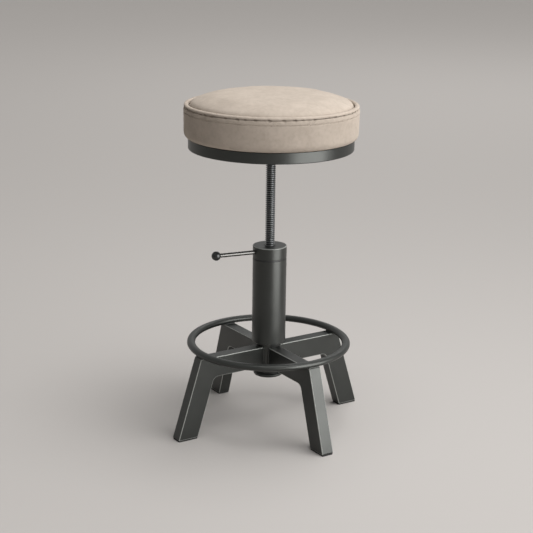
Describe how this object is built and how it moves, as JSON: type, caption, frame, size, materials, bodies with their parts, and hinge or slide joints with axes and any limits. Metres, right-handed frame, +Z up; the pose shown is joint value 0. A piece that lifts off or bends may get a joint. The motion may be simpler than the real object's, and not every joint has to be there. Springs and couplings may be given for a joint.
{
  "type": "adjustable stool",
  "caption": "Height-adjustable round stool: padded seat on a lead screw in a steel column, with a ball-lever lock collar, splayed bar legs and a foot ring.",
  "frame": {"origin": "on the floor, under the lead screw's axis", "axes": "+Z up along the lead screw; front towards -Y; the legs stand on the diagonals"},
  "size_m": [0.35, 0.35, 0.6898],
  "materials": {
    "charcoal_powder_coat": "satin charcoal powder coat, fine orange peel",
    "black_oxide_steel": "black oxide, oiled",
    "polished_steel": "bright drawn steel",
    "zinc_steel": "zinc plated fasteners",
    "black_phenolic": "glossy moulded ball",
    "bronze": "machined",
    "acetal": "machined black acetal",
    "nylon": "natural nylon",
    "foot_rubber": "matte moulded rubber",
    "plywood": "raw birch plywood",
    "taupe_velvet": "short-pile suede-look velvet over foam"
  },
  "bodies": {
    "base": {"leg_rear_right": "charcoal_powder_coat", "leg_rear_left": "charcoal_powder_coat", "leg_front_left": "charcoal_powder_coat", "leg_front_right": "charcoal_powder_coat", "foot_pad_rear_right": "foot_rubber", "foot_pad_rear_left": "foot_rubber", "foot_pad_front_left": "foot_rubber", "foot_pad_front_right": "foot_rubber", "foot_ring": "charcoal_powder_coat", "hub_tube": "charcoal_powder_coat", "hub_flange": "charcoal_powder_coat", "hub_plug": "acetal", "column_foot": "charcoal_powder_coat", "column_tube": "charcoal_powder_coat", "column_nut": "bronze", "thrust_washer": "acetal", "collet": "bronze"},
    "lock_collar": {"lock_collar": "charcoal_powder_coat", "lever_rod": "polished_steel", "ball_knob": "black_phenolic"},
    "lift_guide": {"guide_bush": "nylon"},
    "seat": {"lead_screw": "black_oxide_steel", "end_washer": "zinc_steel", "end_bolt": "zinc_steel", "mounting_flange": "charcoal_powder_coat", "seat_bolts": "zinc_steel", "tee_nuts": "zinc_steel", "seat_pan": "charcoal_powder_coat", "seat_board": "plywood", "seat_cushion": "taupe_velvet", "rim_welt": "taupe_velvet", "seat_top_pad": "taupe_velvet"}
  },
  "joints": [
    {"name": "lock_lever_turn", "type": "hinge", "parent": "base", "child": "lock_collar", "pos_m": [0, 0, 0.367], "axis": [0, 0, 1], "range_deg": [0, 60]},
    {"name": "seat_lift", "type": "slide", "parent": "base", "child": "lift_guide", "axis": [0, 0, 1], "range_m": [-0.1722, 0.0122]},
    {"name": "seat_turn", "type": "hinge", "parent": "lift_guide", "child": "seat", "pos_m": [0, 0, 0.302], "axis": [0, 0, 1], "range_deg": [-15480, 1080]}
  ],
  "couplings": [
    {"joint": "seat_lift", "follows": "seat_turn", "m_per_rad": 0.00063662}
  ]
}
